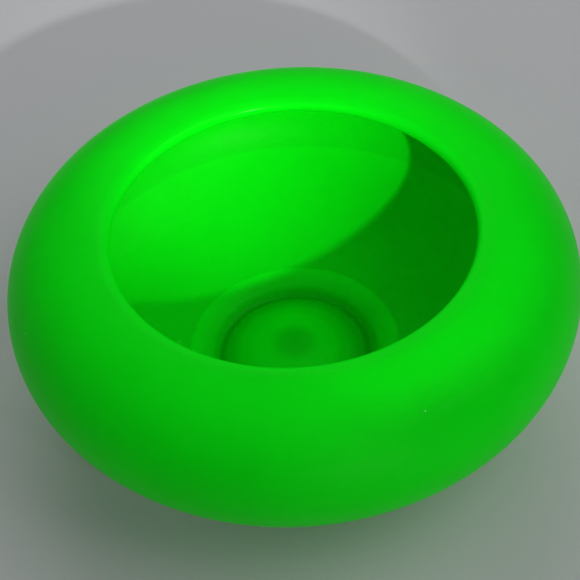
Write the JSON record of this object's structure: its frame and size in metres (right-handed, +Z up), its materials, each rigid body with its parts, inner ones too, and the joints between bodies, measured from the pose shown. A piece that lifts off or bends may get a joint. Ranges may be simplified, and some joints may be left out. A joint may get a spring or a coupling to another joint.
{
  "type": "bowl",
  "caption": "Squat round satin-glass bowl with a rolled-in rim and a low foot ring, for holding flowers, fruit or small things on a table.",
  "frame": {"origin": "centre of the face that the foot ring stands on", "axes": "+Z up along the bowl's axis, out of the mouth; X and Y are free, because the bowl is round"},
  "size_m": [0.192, 0.192, 0.074],
  "materials": {
    "uranium_glass": "satin, acid-etched, glowing green under ultraviolet light"
  },
  "bodies": {
    "root": {"bowl_wall": "uranium_glass", "rolled_shoulder": "uranium_glass", "rim_lip": "uranium_glass", "foot_ring": "uranium_glass", "base_disc": "uranium_glass"}
  },
  "joints": []
}
